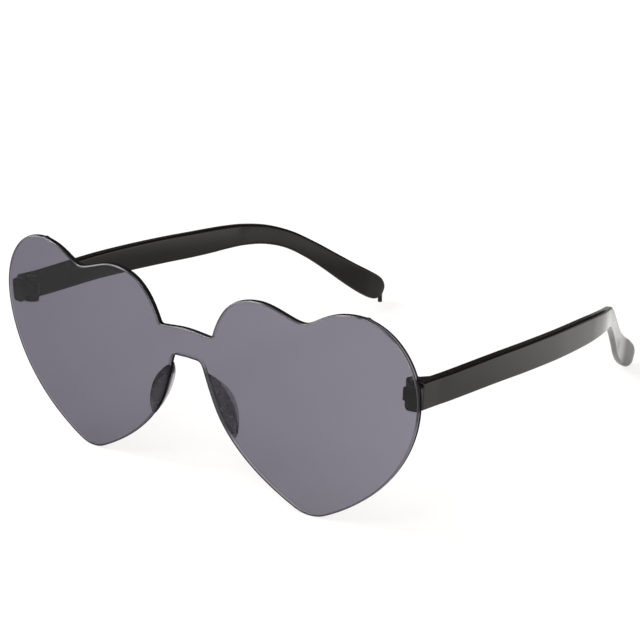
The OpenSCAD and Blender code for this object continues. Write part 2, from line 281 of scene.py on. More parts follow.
def half_outline():
    """Points of one half of the outline, from the bridge's top to the arch's crown."""
    points = []
    for k, steps in enumerate(OUTLINE_STEPS):
        p, q = OUTLINE[k], OUTLINE[k + 1]
        a = Vector((p[0] * HALF_W, p[1] * FRONT_H))
        d = Vector((q[0] * HALF_W, q[1] * FRONT_H))
        pull = (d - a).length
        turn_a, turn_d = math.radians(p[2]), math.radians(q[2])
        b = a + Vector((math.cos(turn_a), math.sin(turn_a))) * pull * p[4]
        c = d - Vector((math.cos(turn_d), math.sin(turn_d))) * pull * q[3]
        points += [cubic(a, b, c, d, i / steps) for i in range(steps)]
    points.append(Vector((OUTLINE[-1][0] * HALF_W, OUTLINE[-1][1] * FRONT_H)))
    return points


def heart_outline():
    """The whole closed outline, clockwise seen from the front, with the gate marks."""
    half = half_outline()
    whole = half + [Vector((-p.x, p.y)) for p in reversed(half[1:-1])]
    marked = []
    n = len(whole)
    for i, p in enumerate(whole):
        run = whole[(i + 1) % n] - whole[i - 1]
        out = Vector((-run.y, run.x)).normalized()
        rise = 0.0
        if p.y > GATE_ABOVE:
            place = GATE_X[LEFT if p.x > 0 else RIGHT]
            rise = GATE_RISE * math.exp(-((abs(p.x) - place) / GATE_HALF) ** 4)
        marked.append(p + out * rise)
    return marked


def outline_outward(outline):
    """The outward direction at each point of the outline."""
    found = []
    n = len(outline)
    for i in range(n):
        before = (outline[i] - outline[i - 1]).normalized()
        after = (outline[(i + 1) % n] - outline[i]).normalized()
        run = (before + after).normalized()
        found.append(Vector((-run.y, run.x)))
    return found


# Edge of the sheet. Its section, from the front face to the back: inset, depth, and the
# way that the surface faces before and after the point, in degrees from the front
RIM_SECTION = [
    (0.54, 0.0, 0, 0),
    (0.42, 0.0, 0, 8),
    (0.37, 0.015, 14, 37),
    (0.21, 0.15, 44, 44),
    (0.05, 0.3, 51, 64),
    (0.0, 0.38, 82, 88),
    (0.0, 0.65, 90, 90),
    (0.0, 0.9, 90, 84),
    (-0.02, 0.97, 70, 80),
    (-0.03, 1.0, 90, 90),
    (-0.02, 1.03, 100, 110),
    (0.0, 1.1, 96, 92),
    (0.015, 1.25, 94, 96),
    (0.05, 1.45, 102, 102),
    (0.12, 1.64, 116, 116),
    (0.24, 1.82, 134, 134),
    (0.36, 1.93, 154, 154),
    (0.5, 2.0, 172, 180),
]
# Strips of the bevel: polish and painted black shade where they face up, and painted black shade
# where they face down
BEVEL_POLISH = (0.0, 0.3, 0.9, 0.9, 0.4)
BEVEL_BLACK = (0.0, 0.0, 0.0, 0.35, 0.9)
UNDER_BLACK = (0.5, 0.7, 1.0, 1.0, 1.0)
# Painted black shade on the wall beside the bevel and on the rest, and the strip where that starts
SIDE_DARK, BACK_DARK, BACK_START = 0.1, 1.0, 6
# Painted black shade that shows from inside, where a clear edge throws the light back, on the
# strips next to the front and on the others, and the strips where the first begins and ends
INNER_DARK, INNER_FAR, INNER_START, INNER_END = 0.95, 0.2, 2, 11
# The same beside a nose pad, where it fades over a length in millimetres, and how much a
# strip has to face the nose for it
PAD_SHADE, PAD_FADE, PAD_INWARD = 0.8, 4.0, 0.6
# How much a strip has to face up to count as lit, or aside on the left heart's outer side,
# which faces the light as well; where that side begins, and how soon it ends below
UP_FULL, ASIDE_FULL, ASIDE_START, ASIDE_END = 0.35, 0.5, 0.75 * HALF_W, -0.25
# What facing aside takes off the painted shade: on the bevel, on the first strip of the rest, and
# on the wall beside the bevel
BEVEL_RELIEF, BACK_RELIEF, SIDE_RELIEF = 0.75, 0.6, 0.8
# That wall is painted black, as shade, between these two shares of facing up or down, and less
# underneath
STEEP_START, STEEP_FULL, STEEP_UNDER = 0.3, 0.7, 0.7


def inner_painted_shade(level, out, place):
    """The share of painted black shade seen from inside on a strip of the edge."""
    share = 0.0
    if level >= INNER_START:
        share = INNER_DARK if level < INNER_END else INNER_FAR
    if level > 0:
        below_top = ramp(-place.y, PAD_DROP - PAD_FADE, PAD_DROP)
        above_foot = ramp(place.y + PAD_DROP + PAD_H, -PAD_FADE / 2, PAD_FADE / 2)
        inward = ramp(-math.copysign(out.x, out.x * place.x), 0, PAD_INWARD)
        share = max(share, PAD_SHADE * min(below_top, above_foot) * inward)
    return share


def edge_shade_marks(level, out, place):
    """The shares of polish, of painted black shade and of painted black shade from inside on a strip
    of the edge; the shade depends on how the strip faces the lamps.
    """
    inner = inner_painted_shade(level, out, place)
    aside = 0.0
    if place.x > ASIDE_START:
        aside = max(out.x, 0) * ramp(out.y, ASIDE_END, 0)
    lit = ramp(aside, 0, ASIDE_FULL)
    # Painted shade: these shares paint the clear edge black by the way each strip faces the lamps
    if level < len(BEVEL_POLISH):
        up = max(ramp(out.y, 0, UP_FULL), lit)
        under = UNDER_BLACK[level] * (1 - BEVEL_RELIEF * max(out.x, 0))
        return BEVEL_POLISH[level] * up, under + (BEVEL_BLACK[level] - under) * up, inner
    if level >= BACK_START:
        bright = lit if level == BACK_START and out.y > 0 else 0.0
        return 0.0, BACK_DARK - BACK_RELIEF * bright, inner
    steep = ramp(abs(out.y), STEEP_START, STEEP_FULL) * (1 - SIDE_RELIEF * aside)
    if out.y <= 0:
        steep *= STEEP_UNDER
    return 0.0, SIDE_DARK + (1 - SIDE_DARK) * steep, inner


# Heart front. Pitch of the points inside a face, their least distance from its border in
# pitches, and the triangulation's choice of the inside and its tolerance
FILL_PITCH, FILL_MARGIN, FILL_INSIDE, FILL_NEAR = 2.4, 0.55, 1, 1e-7


def sheet_rings(outline, outward):
    """Rings round the sheet's edge, from the front face's border to the back's."""
    rings = []
    for inset, depth, _, _ in RIM_SECTION:
        share = depth / FRONT_T
        ring = []
        for p, q in zip(outline, outward):
            x, z = p - q * inset
            y = arc_y(WRAP_R, x) * (1 - share) + arc_y(BACK_R, x) * share
            ring.append(Vector((x, y, z)))
        rings.append(ring)
    return rings


def facing(x, out, angle):
    """The direction that lies angle from the front's own facing, towards out."""
    a = math.radians(angle)
    front = Vector((x / WRAP_R, -math.sqrt(1 - (x / WRAP_R) ** 2), 0))
    return (front * math.cos(a) + Vector((out.x, 0, out.y)) * math.sin(a)).normalized()


def fill_points(loop):
    """Staggered rows of points inside a loop, clear of its border."""
    low_x, high_x = min(p.x for p in loop), max(p.x for p in loop)
    low_z, high_z = min(p.y for p in loop), max(p.y for p in loop)
    rows = int((high_z - low_z) / FILL_PITCH) + 1
    columns = int((high_x - low_x) / FILL_PITCH) + 2
    found = []
    for r in range(rows):
        z = low_z + (r + 0.5) * FILL_PITCH
        crossings = sorted(
            a.x + (z - a.y) / (b.y - a.y) * (b.x - a.x)
            for a, b in zip(loop, loop[1:] + loop[:1]) if (a.y > z) != (b.y > z))
        for c in range(-columns // 2, columns // 2 + 1):
            x = (c + (0.5 if r % 2 else 0.0)) * FILL_PITCH
            spot = Vector((x, z))
            inside = sum(1 for v in crossings if v < x) % 2 == 1
            if inside and min((p - spot).length for p in loop) > FILL_PITCH * FILL_MARGIN:
                found.append(spot)
    return found


def fill_face(ring, radius):
    """The triangles that fill a ring on the wrapped surface, with points inside it."""
    loop = [Vector((p.x, p.z)) for p in ring]
    edges = [(i, (i + 1) % len(loop)) for i in range(len(loop))]
    points, _, faces, origin, _, _ = delaunay_2d_cdt(
        loop + fill_points(loop), edges, [], FILL_INSIDE, FILL_NEAR)
    return [(p.x, arc_y(radius, p.x), p.y) for p in points], faces, origin


def edge_faces(verts, bands, outline, outward):
    """The faces of the edge, with their corners' directions and their marks."""
    n = len(outline)
    found = []
    for band in bands:
        face = list(band)
        level = min(i // n for i in face)
        corners = []
        for i in face:
            angle = RIM_SECTION[level][3] if i // n == level else RIM_SECTION[level + 1][2]
            corners.append(facing(verts[i][0], outward[i % n], angle))
        first = min(i % n for i in face)
        found.append((face, corners, edge_shade_marks(level, outward[first], outline[first])))
    return found


def broad_faces(verts, ring, start, radius, angle):
    """The faces inside a ring whose points begin at start, all without marks. Their inner
    points are added to verts."""
    points, triangles, origin = fill_face(ring, radius)
    index = []
    for p, source in zip(points, origin):
        if source and source[0] < len(ring):
            index.append(start + source[0])
        else:
            index.append(len(verts))
            verts.append(p)
    found = []
    for t in triangles:
        face = [index[i] for i in t]
        corners = [facing(verts[i][0], Vector((0, 0)), angle) for i in face]
        found.append((face, corners, (0.0, 0.0, 0.0)))
    return found


def wound(verts, face, corners):
    """A face and its corners' directions, in the order that makes it face their way."""
    middle = sum((Vector(verts[i]) for i in face), Vector()) / len(face)
    turn = Vector()
    for i, j in zip(face, face[1:] + face[:1]):
        turn += (Vector(verts[i]) - middle).cross(Vector(verts[j]) - middle)
    if turn.dot(sum(corners, Vector())) < 0:
        return list(reversed(face)), list(reversed(corners))
    return face, corners


def build_front():
    """The tinted sheet: two wrapped faces and a bevelled edge between them."""
    outline = heart_outline()
    outward = outline_outward(outline)
    rings = sheet_rings(outline, outward)
    verts, bands = loft(rings, closed=False)
    found = edge_faces(verts, bands, outline, outward)
    found += broad_faces(verts, rings[0], 0, WRAP_R, 0)
    found += broad_faces(verts, rings[-1], (len(rings) - 1) * len(outline), BACK_R, 180)
    faces, normals, marks = [], [], []
    for face, corners, mark in found:
        face, corners = wound(verts, face, corners)
        faces.append(face)
        normals.extend(corners)
        marks.append(mark)
    me = bpy.data.meshes.new("tinted_front")
    me.from_pydata([tuple(stand(p)) for p in verts], [], faces)
    # Masks of the edge's polish and painted shade, seen from outside and from inside
    for k, word in enumerate(("rim_polish_and_painted_shade", "rim_painted_shade", "rim_inner_painted_shade")):
        mask = me.attributes.new(word, "FLOAT", "FACE")
        mask.data.foreach_set("value", [mark[k] for mark in marks])
    me.polygons.foreach_set("use_smooth", [True] * len(faces))
    turn = Matrix.Rotation(LEAN, 3, "X")
    me.normals_split_custom_set([tuple(turn @ v) for v in normals])
    return link(bpy.data.objects.new("tinted_front", me))


# Nose pads. Levels, and points on each half of a level's section
PAD_LEVELS, PAD_POINTS = 40, 16
# Heights of the widest and of the deepest level, the least share of both, and how fast the
# pad fills out in width and in depth
PAD_BELLY, PAD_CREST, PAD_SKIRT, PAD_WIDE, PAD_DEEP = 0.5, 0.6, 0.06, 0.65, 0.9
# The nose side of the outline lies within this x, and its runs rise by more than this
NOSE_LIMIT, LEAST_RISE = 0.47 * HALF_W, 1e-9


def nose_side_x(outline, z):
    """The x of the nose side of the outline at a height."""
    for a, b in zip(outline, outline[1:]):
        if a.y <= z <= b.y and a.x < NOSE_LIMIT and b.x < NOSE_LIMIT:
            return a.x + (z - a.y) / max(b.y - a.y, LEAST_RISE) * (b.x - a.x)
    return 0.0


def pad_full(s, middle, fullness):
    """The share of its greatest size that a pad has at a share s of its height."""
    t = s / middle if s < middle else (1 - s) / (1 - middle)
    return max(math.sin(math.pi / 2 * max(t, 0.0)) ** fullness, PAD_SKIRT)


def pad_rings():
    """Level sections of the half-moon, from its bottom to its top."""
    outline = half_outline()
    rings = []
    for i in range(PAD_LEVELS + 1):
        s = (1 - math.cos(math.pi * i / PAD_LEVELS)) / 2
        z = -PAD_DROP - PAD_H * (1 - s)
        deep = pad_full(s, PAD_CREST, PAD_DEEP)
        w = PAD_W * pad_full(s, PAD_BELLY, PAD_WIDE)
        d = PAD_DEPTH * deep
        x = nose_side_x(outline, z) + PAD_EDGE
        crest_painted_light_share = x + PAD_FLARE * deep
        ring = []
        for k in range(PAD_POINTS + 1):
            a = math.pi / 2 * k / PAD_POINTS
            y = arc_y(SEAT_R, x) + d * math.sin(a)
            ring.append((crest_painted_light_share + (x - crest_painted_light_share) * math.cos(a), y, z))
        for k in range(1, PAD_POINTS + 1):
            a = math.pi / 2 * k / PAD_POINTS
            y = arc_y(SEAT_R, x + w * k / PAD_POINTS) + d * math.cos(a)
            ring.append((crest_painted_light_share + (x + w - crest_painted_light_share) * math.sin(a), y, z))
        rings.append(ring)
    return rings


def build_pad(name, side):
    """A half-moon pad behind the nose side of the front."""
    obj = new_object(name, *loft(pad_rings()), side=side)
    soften(obj, angle=50)
    return obj


# End pieces. Rounding of the block's rear edge, its steps, and points on each corner
EDGE, EDGE_STEPS, PLATE_POINTS = 0.18, 4, 8
# Middle knuckle in plan: runs, first angle and turn of its round side, the y above which
# that side is kept, the y where the root's inner and outer sides begin, and how deep the
# root goes into the block
TONGUE_STEPS, TONGUE_START, TONGUE_TURN, TONGUE_CUT = 32, -20, 220, -1.2
ROOT_IN_Y, ROOT_OUT_Y, ROOT_SINK = -1.4, -0.9, 0.6
# Points round a bore, a screw, the room for the middle knuckle, and the gate stub
BORE_POINTS, ROOM_POINTS, STUB_POINTS = 48, 64, 24


def plate_loop(inset):
    """The plate's outline, set in from its side, as x and z."""
    cx = HALF_W - PLATE_INSET - PLATE_W / 2
    w, h, r = PLATE_W - 2 * inset, PLATE_H - 2 * inset, PLATE_R - inset
    corners = [p for q in range(4) for p in rounded_corner(w, h, r, q, PLATE_POINTS)]
    return [(cx + p.x, HINGE.z + p.y) for p in corners]


def block_rings():
    """Rings of the wedge from its seat on the front to its rounded butt face."""
    butt = at_hinge((0, -BUTT_Y, 0))
    slope = math.tan(math.radians(HINGE_TILT))
    rings = [[(x, arc_y(SEAT_R, x), z) for x, z in plate_loop(0.0)]]
    for k in range(EDGE_STEPS + 1):
        a = math.pi / 2 * k / EDGE_STEPS
        before_end = EDGE * (1 - math.sin(a))
        rings.append([(x, butt.y + (z - butt.z) * slope - before_end, z)
                      for x, z in plate_loop(EDGE * (1 - math.cos(a)))])
    return rings


def tongue_plan():
    """Plan of the middle knuckle with its root, in the hinge's frame."""
    turns = [math.radians(TONGUE_START + TONGUE_TURN * i / TONGUE_STEPS)
             for i in range(TONGUE_STEPS + 1)]
    plan = [(KNUCKLE_R * math.cos(a), KNUCKLE_R * math.sin(a)) for a in turns]
    plan = [p for p in plan if p[1] > TONGUE_CUT]
    foot = -BUTT_Y - ROOT_SINK
    return plan + [(-ROOT_IN, ROOT_IN_Y), (-ROOT_IN, foot), (ROOT_OUT, foot), (ROOT_OUT, ROOT_OUT_Y)]


def build_end_piece(name, side):
    """The bonded block with the hinge's middle knuckle behind it."""
    obj = new_object(name, *loft(block_rings()), side=side)
    tongue = new_object("tongue", *prism(tongue_plan(), -TONGUE_H / 2, TONGUE_H / 2), stand_hinge, side)
    bevel(tongue, width=0.1, segments=2, angle=40)
    combine(obj, tongue, "UNION")
    cut(obj, side, circle_loop(BORE_R, BORE_POINTS), -TONGUE_H, TONGUE_H)
    soften(obj, angle=40)
    return obj


# Temples. Rings of the run and of the tip's rounding, and points on each corner
BODY_RINGS, CAP_RINGS, CORNER_POINTS = 150, 14, 7
# Corner radius at the arm and at the ear as shares of the thickness, the largest share that
# it may have, crown of the broad sides, and the step that gives the run's direction
ARM_CORNER, EAR_CORNER, MOST_ROUND, CROWN, PROBE = 0.13, 0.4, 0.49, 0.05, 0.004
LAST_ROW = len(TEMPLE_ROWS) - 2
# Tip's rounding: where it begins, the power of its curve, and its last share of the height
CAP_START = 1 - TIP_ROUND / (TEMPLE_L * (TEMPLE_ROWS[-1][0] - TEMPLE_ROWS[-2][0]) * LAST_ROW)
CAP_POWER, CAP_LAST = 2.5, 0.12
# Places of the points between the corners, on the broad and on the narrow sides
BROAD_SHARES = (0.04, 0.14, 0.32, 0.5, 0.68, 0.86, 0.96)
NARROW_SHARES = (0.1, 0.35, 0.65, 0.9)
# Rounded front of the temple's head: distances behind it, and the insets there
HEAD_ROUNDING = [(0.0, 0.22), (0.05, 0.12), (0.16, 0.04), (0.32, 0.0)]
# Lug round the knuckles: how deep it goes into the blade, where it ends on it, the length
# of its taper, and the runs of its round side
LUG_SINK, LUG_END, LUG_TAPER, LUG_STEPS = 0.9, 4.8, 2.2, 24


def temple_row(u):
    """A row of the temple's table at a share u of its run, on a smooth curve."""
    s = 1 + u * LAST_ROW
    k = min(int(math.floor(s)), LAST_ROW)
    a, b, c = TEMPLE_ROWS[k - 1], TEMPLE_ROWS[k], TEMPLE_ROWS[k + 1]
    if k == LAST_ROW:
        d = [2 * v - w for v, w in zip(c, b)]
    else:
        d = TEMPLE_ROWS[k + 2]
    t = s - k
    return [0.5 * (2 * q + (r - p) * t + (2 * p - 5 * q + 4 * r - v) * t * t
                   + (3 * q - p - 3 * r + v) * t**3) for p, q, r, v in zip(a, b, c, d)]


def face_at(u, rise):
    """The middle of the temple's outer face at u, in the hinge's frame."""
    r = temple_row(u)
    return Vector((TEMPLE_SIDE - r[1] * TIP_INSET, r[0] * TEMPLE_L, r[5] * rise - r[2] * TIP_DROP))


def axes_at(u, rise):
    """Outward and upward directions of the temple's section."""
    run = face_at(min(u + PROBE, 1), rise) - face_at(max(u - PROBE, 0), rise)
    out = Vector((run.y, -run.x, 0)).normalized()
    return out, out.cross(run).normalized()


def cap_scale(u):
    """The share of its height that the section keeps in the tip's rounding."""
    if u <= CAP_START:
        return 1.0
    s = (u - CAP_START) / (1 - CAP_START)
    return max((max(1 - s**CAP_POWER, 0)) ** (1 / CAP_POWER), CAP_LAST)


def section_loop(w, h, r, crown):
    """A rounded rectangle with points along its sides and a slight crown on the broad ones."""
    loop = []
    for q in range(4):
        corner = rounded_corner(w, h, r, q, CORNER_POINTS)
        following = rounded_corner(w, h, r, q + 1, CORNER_POINTS)[0]
        shares = BROAD_SHARES if q % 2 else NARROW_SHARES
        loop += corner + [corner[-1].lerp(following, t) for t in shares]
    half = h / 2
    for p in loop:
        lift = crown * (1 - (p.y / half) ** 2) if abs(p.y) < half else 0.0
        p.x += math.copysign(lift, p.x) * min(abs(p.x) / (w / 2), 1.0)
    return loop


def temple_ring(u, rise, shift=0.0):
    """The temple's section at u, shifted along y."""
    out, up = axes_at(u, rise)
    r = temple_row(u)
    w, h = r[4] * TEMPLE_T, r[3] * TEMPLE_H
    tall = cap_scale(u)
    wide = math.sqrt(tall)
    share = ARM_CORNER + (EAR_CORNER - ARM_CORNER) * math.sin(math.pi / 2 * u)
    radius = min(share * w + (1 - tall) * w / 4, MOST_ROUND * w * wide)
    middle = face_at(u, rise) - out * w / 2
    middle.y += shift
    crown = CROWN * tall
    return [middle + out * (p.x - crown / 2) + up * p.y
            for p in section_loop(w * wide, h * tall, radius, crown)]


def head_rings(rise):
    """Rings of the temple's head, from its rounded front to the start of the run."""
    first = face_at(0, rise).y
    x = TEMPLE_SIDE - TEMPLE_T / 2
    rings = []
    places = [(step - KNUCKLE_R, inset) for step, inset in HEAD_ROUNDING]
    places += [(0.0, 0.0), (first / 2, 0.0)]
    for y, inset in places:
        narrow, low = 1 - inset / (TEMPLE_T / 2), 1 - inset / (BLOCK_H / 2)
        rings.append([Vector((x + (p.x - x) * narrow, y, p.z * low))
                      for p in temple_ring(0.0, rise, y - first)])
    return rings


def temple_rings(rise):
    """All rings of the temple, from its head to its tip."""
    places = [CAP_START * i / BODY_RINGS for i in range(BODY_RINGS)]
    places += [CAP_START + (1 - CAP_START) * math.sin(math.pi / 2 * i / CAP_RINGS)
               for i in range(CAP_RINGS + 1)]
    return head_rings(rise) + [temple_ring(u, rise) for u in places]


def build_lug(side):
    """The lug that carries the outer knuckles, on the inner side of the blade."""
    inner = TEMPLE_SIDE - TEMPLE_T
    plan = [(inner + LUG_SINK, -KNUCKLE_R), (inner + LUG_SINK, LUG_END), (inner, KNUCKLE_R + LUG_TAPER)]
    for i in range(LUG_STEPS + 1):
        a = math.radians(90 + 180 * i / LUG_STEPS)
        plan.append((KNUCKLE_R * math.cos(a), KNUCKLE_R * math.sin(a)))
    lug = new_object("lug", *prism(plan, -BLOCK_H / 2, BLOCK_H / 2), stand_hinge, side)
    bevel(lug, width=0.2, segments=3, angle=60)
    return lug


def cut_hinge(obj, side):
    """Cuts the room for the middle knuckle and its root, the bore and its counterbore."""
    low, high = -TONGUE_H / 2 - KNUCKLE_GAP, TONGUE_H / 2 + KNUCKLE_GAP
    far, near = -KNUCKLE_R - PAST, ROOT_OUT + KNUCKLE_GAP
    cut(obj, side, circle_loop(KNUCKLE_R + KNUCKLE_GAP, ROOM_POINTS), low, high)
    cut(obj, side, [(far, far), (near, far), (near, 0), (far, 0)], low, high)
    cut(obj, side, circle_loop(BORE_R, BORE_POINTS), -BLOCK_H, BLOCK_H)
    cut(obj, side, circle_loop(HEAD_D / 2 + SCREW_CLEAR, BORE_POINTS), BLOCK_H / 2 - HEAD_H, BLOCK_H)


def build_stub(side, rise):
    """The gate stub that the right tip stands on."""
    out, _ = axes_at(STUB_PLACE, rise)
    width = temple_row(STUB_PLACE)[4] * TEMPLE_T
    foot = stand_hinge(face_at(STUB_PLACE, rise) - out * width / 2) / MM
    loop = circle_loop(STUB_D / 2, STUB_POINTS, foot.x, foot.y)
    stub = new_object("stub", *prism(loop, 0.0, STUB_L), on_floor, side)
    bevel(stub, width=0.15, segments=2, angle=60)
    return stub


def build_temple(name, side):
    """Hinge head, blade and ear piece as one smooth moulding."""
    rise = TIP_RISE if side == RIGHT else 0.0
    obj = new_object(name, *loft(temple_rings(rise)), stand_hinge, side)
    combine(obj, build_lug(side), "UNION")
    cut_hinge(obj, side)
    if side == RIGHT:
        combine(obj, build_stub(side, rise), "UNION")
    soften(obj, angle=35)
    return obj


# Screws. How far the end stays inside the temple, and its chamfer
END_GAP, END_CHAMFER = 0.02, 0.15
# Rounding of the head: distances in from its side and down from its top
HEAD_EDGE = [(0.0, 0.2), (0.08, 0.08), (0.3, 0.015)]
# Radius of the head's flat top, radius of the rings on the axis, and reach of the slot's cut
HEAD_FLAT, AXIS_R, SLOT_REACH = 0.5, 0.001, 2


def build_screw(name, side):
    """A slotted screw, its head in the counterbore and level with the temple's top."""
    top, shank, head = BLOCK_H / 2, SCREW_D / 2, HEAD_D / 2
    end = -top + END_GAP
    profile = [(AXIS_R, end), (shank - END_CHAMFER, end), (shank, end + END_CHAMFER),
               (shank, top - HEAD_H), (head, top - HEAD_H)]
    profile += [(head - inset, top - drop) for inset, drop in HEAD_EDGE]
    profile += [(HEAD_FLAT, top), (AXIS_R, top)]
    rings = [[(x, y, z) for x, y in circle_loop(r, BORE_POINTS)] for r, z in profile]
    obj = new_object(name, *loft(rings), stand_hinge, side)
    w, reach = SLOT_W / 2, SLOT_REACH
    slot = [(-reach, -w), (reach, -w), (reach, w), (-reach, w)]
    cut(obj, side, slot, top - HEAD_H / 2, top + PAST)
    soften(obj, angle=30)
    return obj


# Node trees
class Nodes:
    """A short way to write the node tree of a material or of the world."""

    def __init__(self, owner, output="ShaderNodeOutputMaterial"):
        owner.use_nodes = True
        self.tree = owner.node_tree
        self.tree.nodes.clear()
        self.out = self.add(output)
        self.place = self.add("ShaderNodeTexCoord").outputs

    def add(self, kind, **inputs):
        """A new node, with links or values for its inputs, _ standing for a space."""
        node = self.tree.nodes.new(kind)
        for key, value in inputs.items():
            self.put(node.inputs[key.replace("_", " ")], value)
        return node

    def put(self, socket, value):
        """Links an output to an input, or sets the input's value."""
        if isinstance(value, bpy.types.NodeSocket):
            self.tree.links.new(value, socket)
        else:
            socket.default_value = value

    def ray(self, kind):
        """1 for a kind of ray and 0 for the others."""
        return self.add("ShaderNodeLightPath").outputs["Is " + kind + " Ray"]

    def axis(self, vector, name):
        """One coordinate of a vector."""
        return self.add("ShaderNodeSeparateXYZ", Vector=vector).outputs[name]

    def noise(self, scale, detail, stretch=(1, 1, 1)):
        """A noise over the object, finer along an axis with a larger stretch."""
        mapped = self.add("ShaderNodeMapping", Vector=self.place["Object"], Scale=stretch)
        found = self.add("ShaderNodeTexNoise", Vector=mapped.outputs[0], Scale=scale,
                         Detail=detail, Roughness=0.5)
        return found.outputs["Fac"]

    def span(self, value, low, high, to_low=0.0, to_high=1.0):
        """Maps the range from low to high to another one, and is level beyond it."""
        return self.add("ShaderNodeMapRange", Value=value, From_Min=low, From_Max=high,
                        To_Min=to_low, To_Max=to_high).outputs["Result"]

    def calc(self, operation, a, b, clamp=False):
        """The result of an operation on two values."""
        node = self.add("ShaderNodeMath")
        node.operation, node.use_clamp = operation, clamp
        self.put(node.inputs[0], a)
        self.put(node.inputs[1], b)
        return node.outputs[0]

    def mix(self, fac, a, b):
        """A colour between two."""
        node = self.add("ShaderNodeMix")
        node.data_type = "RGBA"
        self.put(node.inputs[0], fac)
        self.put(node.inputs[6], a)
        self.put(node.inputs[7], b)
        return node.outputs[2]

    def blend(self, fac, first, second):
        """A shader between two."""
        node = self.add("ShaderNodeMixShader")
        self.put(node.inputs[0], fac)
        self.put(node.inputs[1], first.outputs[0])
        self.put(node.inputs[2], second.outputs[0])
        return node

    def principled(self, colour, **inputs):
        """A principled shader of a colour."""
        return self.add("ShaderNodeBsdfPrincipled", Base_Color=colour, **inputs)

    def clear_shadow(self, surface, colour):
        """Lets light through a clear surface to the floor, by a share for each colour."""
        clear = self.add("ShaderNodeBsdfTransparent", Color=colour)
        return self.blend(self.ray("Shadow"), surface, clear)

    def cover(self, surface):
        """Makes a shader the surface."""
        self.put(self.out.inputs["Surface"], surface.outputs[0])

    def tint(self, colour, density):
        """Absorbs light inside, so that the tint grows with its way there. The colour is
        what gets through, and the density per metre is that for a black one."""
        inside = self.add("ShaderNodeVolumeAbsorption", Color=colour, Density=density)
        self.put(self.out.inputs["Volume"], inside.outputs[0])


# Materials. The range that a noise mostly covers, and the refractive indices of the black
# plastic, of the sheet, which is low so that what lies behind shows in its place in the
# photograph, and of the pads
NOISE_RANGE, PLASTIC_IOR, SHEET_IOR, PAD_IOR = (0.3, 0.7), 1.5, 1.2, 1.3
# Colours of the skins on the sheet's edge, near black: painted shade on the clear edge
EDGE_SHADE_DARK, EDGE_SHADE_LIGHT = (0.004, 0.004, 0.005, 1), (0.012, 0.011, 0.013, 1)


def grey(level):
    """A neutral colour."""
    return (level, level, level, 1)


def black_plastic(name, dark, light, rough_low, rough_high, stretch):
    """Polished black moulding with faint flow lines and handling wear."""
    mat = bpy.data.materials.new(name)
    n = Nodes(mat)
    flow = n.noise(scale=90, detail=4, stretch=stretch)
    grain = n.noise(scale=1500, detail=2)
    colour = n.mix(n.span(flow, *NOISE_RANGE), dark, light)
    rough = n.span(flow, 0.3, 0.75, to_low=rough_low, to_high=rough_high)
    bump = n.add("ShaderNodeBump", Height=grain, Strength=0.08, Distance=0.00002)
    n.cover(n.principled(colour, Roughness=rough, Normal=bump.outputs[0], IOR=PLASTIC_IOR))
    return mat


def edge_shade_skins(n, surface):
    """Covers the marked shares of the sheet's edge with near-black skins, which paint shade on the
    clear edge: polish, which also takes the lamps' highlights, and then a matt black that are
    seen only from outside, and a black that is seen only from inside, where a real edge
    throws the light back."""
    inside = n.add("ShaderNodeNewGeometry").outputs["Backfacing"]
    outside = n.calc("SUBTRACT", 1.0, inside)
    colour = n.mix(n.noise(scale=400, detail=3), EDGE_SHADE_DARK, EDGE_SHADE_LIGHT)
    for word, seen, rough, shine in (("rim_polish_and_painted_shade", outside, 0.33, 1.0),
                                     ("rim_painted_shade", outside, 0.5, 0.0),
                                     ("rim_inner_painted_shade", inside, 0.5, 0.0)):
        mask = n.add("ShaderNodeAttribute")
        mask.attribute_name = word
        share = n.calc("MULTIPLY", mask.outputs["Fac"], seen)
        skin = n.principled(colour, Roughness=rough, IOR=PLASTIC_IOR, Specular_IOR_Level=shine)
        surface = n.blend(share, surface, skin)
    return surface


def tinted_sheet(name, colour, density):
    """Clear tinted plastic with faint smears, and the painted shade and the polish of its cut edge."""
    mat = bpy.data.materials.new(name)
    n = Nodes(mat)
    rough = n.span(n.noise(scale=60, detail=3), 0.4, 0.7, to_low=0.0, to_high=0.015)
    clear = n.span(n.noise(scale=25, detail=3), *NOISE_RANGE, to_low=0.98, to_high=0.99)
    body = n.principled(grey(1), Roughness=rough, IOR=SHEET_IOR, Specular_IOR_Level=0.5,
                        Transmission_Weight=clear)
    n.cover(edge_shade_skins(n, n.clear_shadow(body, grey(0.96))))
    n.tint(colour, density)
    return mat


def frosted_pad_with_painted_light(name, colour, density, clear_y, pale_y):
    """Tinted moulding that turns frosted towards the crest that meets the nose, between two places
    along Y in metres, and pale there: painted light that stands in for the light which gets
    through the thin crest."""
    mat = bpy.data.materials.new(name)
    n = Nodes(mat)
    grain = n.noise(scale=700, detail=3)
    crest_painted_light_share = n.calc("ADD", n.span(n.axis(n.place["Object"], "Y"), clear_y, pale_y),
                   n.span(grain, *NOISE_RANGE, to_low=-0.06, to_high=0.06), clamp=True)
    rough = n.span(grain, *NOISE_RANGE, to_low=0.12, to_high=0.3)
    clear = n.span(crest_painted_light_share, 0, 1, to_low=0.95, to_high=0.8)
    # Painted light: the base turns from dark at the root to pale at the crest
    body = n.principled(n.mix(crest_painted_light_share, (0.08, 0.077, 0.08, 1), (0.97, 0.95, 0.98, 1)),
                        Roughness=rough, IOR=PAD_IOR, Transmission_Weight=clear)
    n.cover(n.clear_shadow(body, (0.7, 0.68, 0.72, 1)))
    n.tint(colour, density)
    return mat


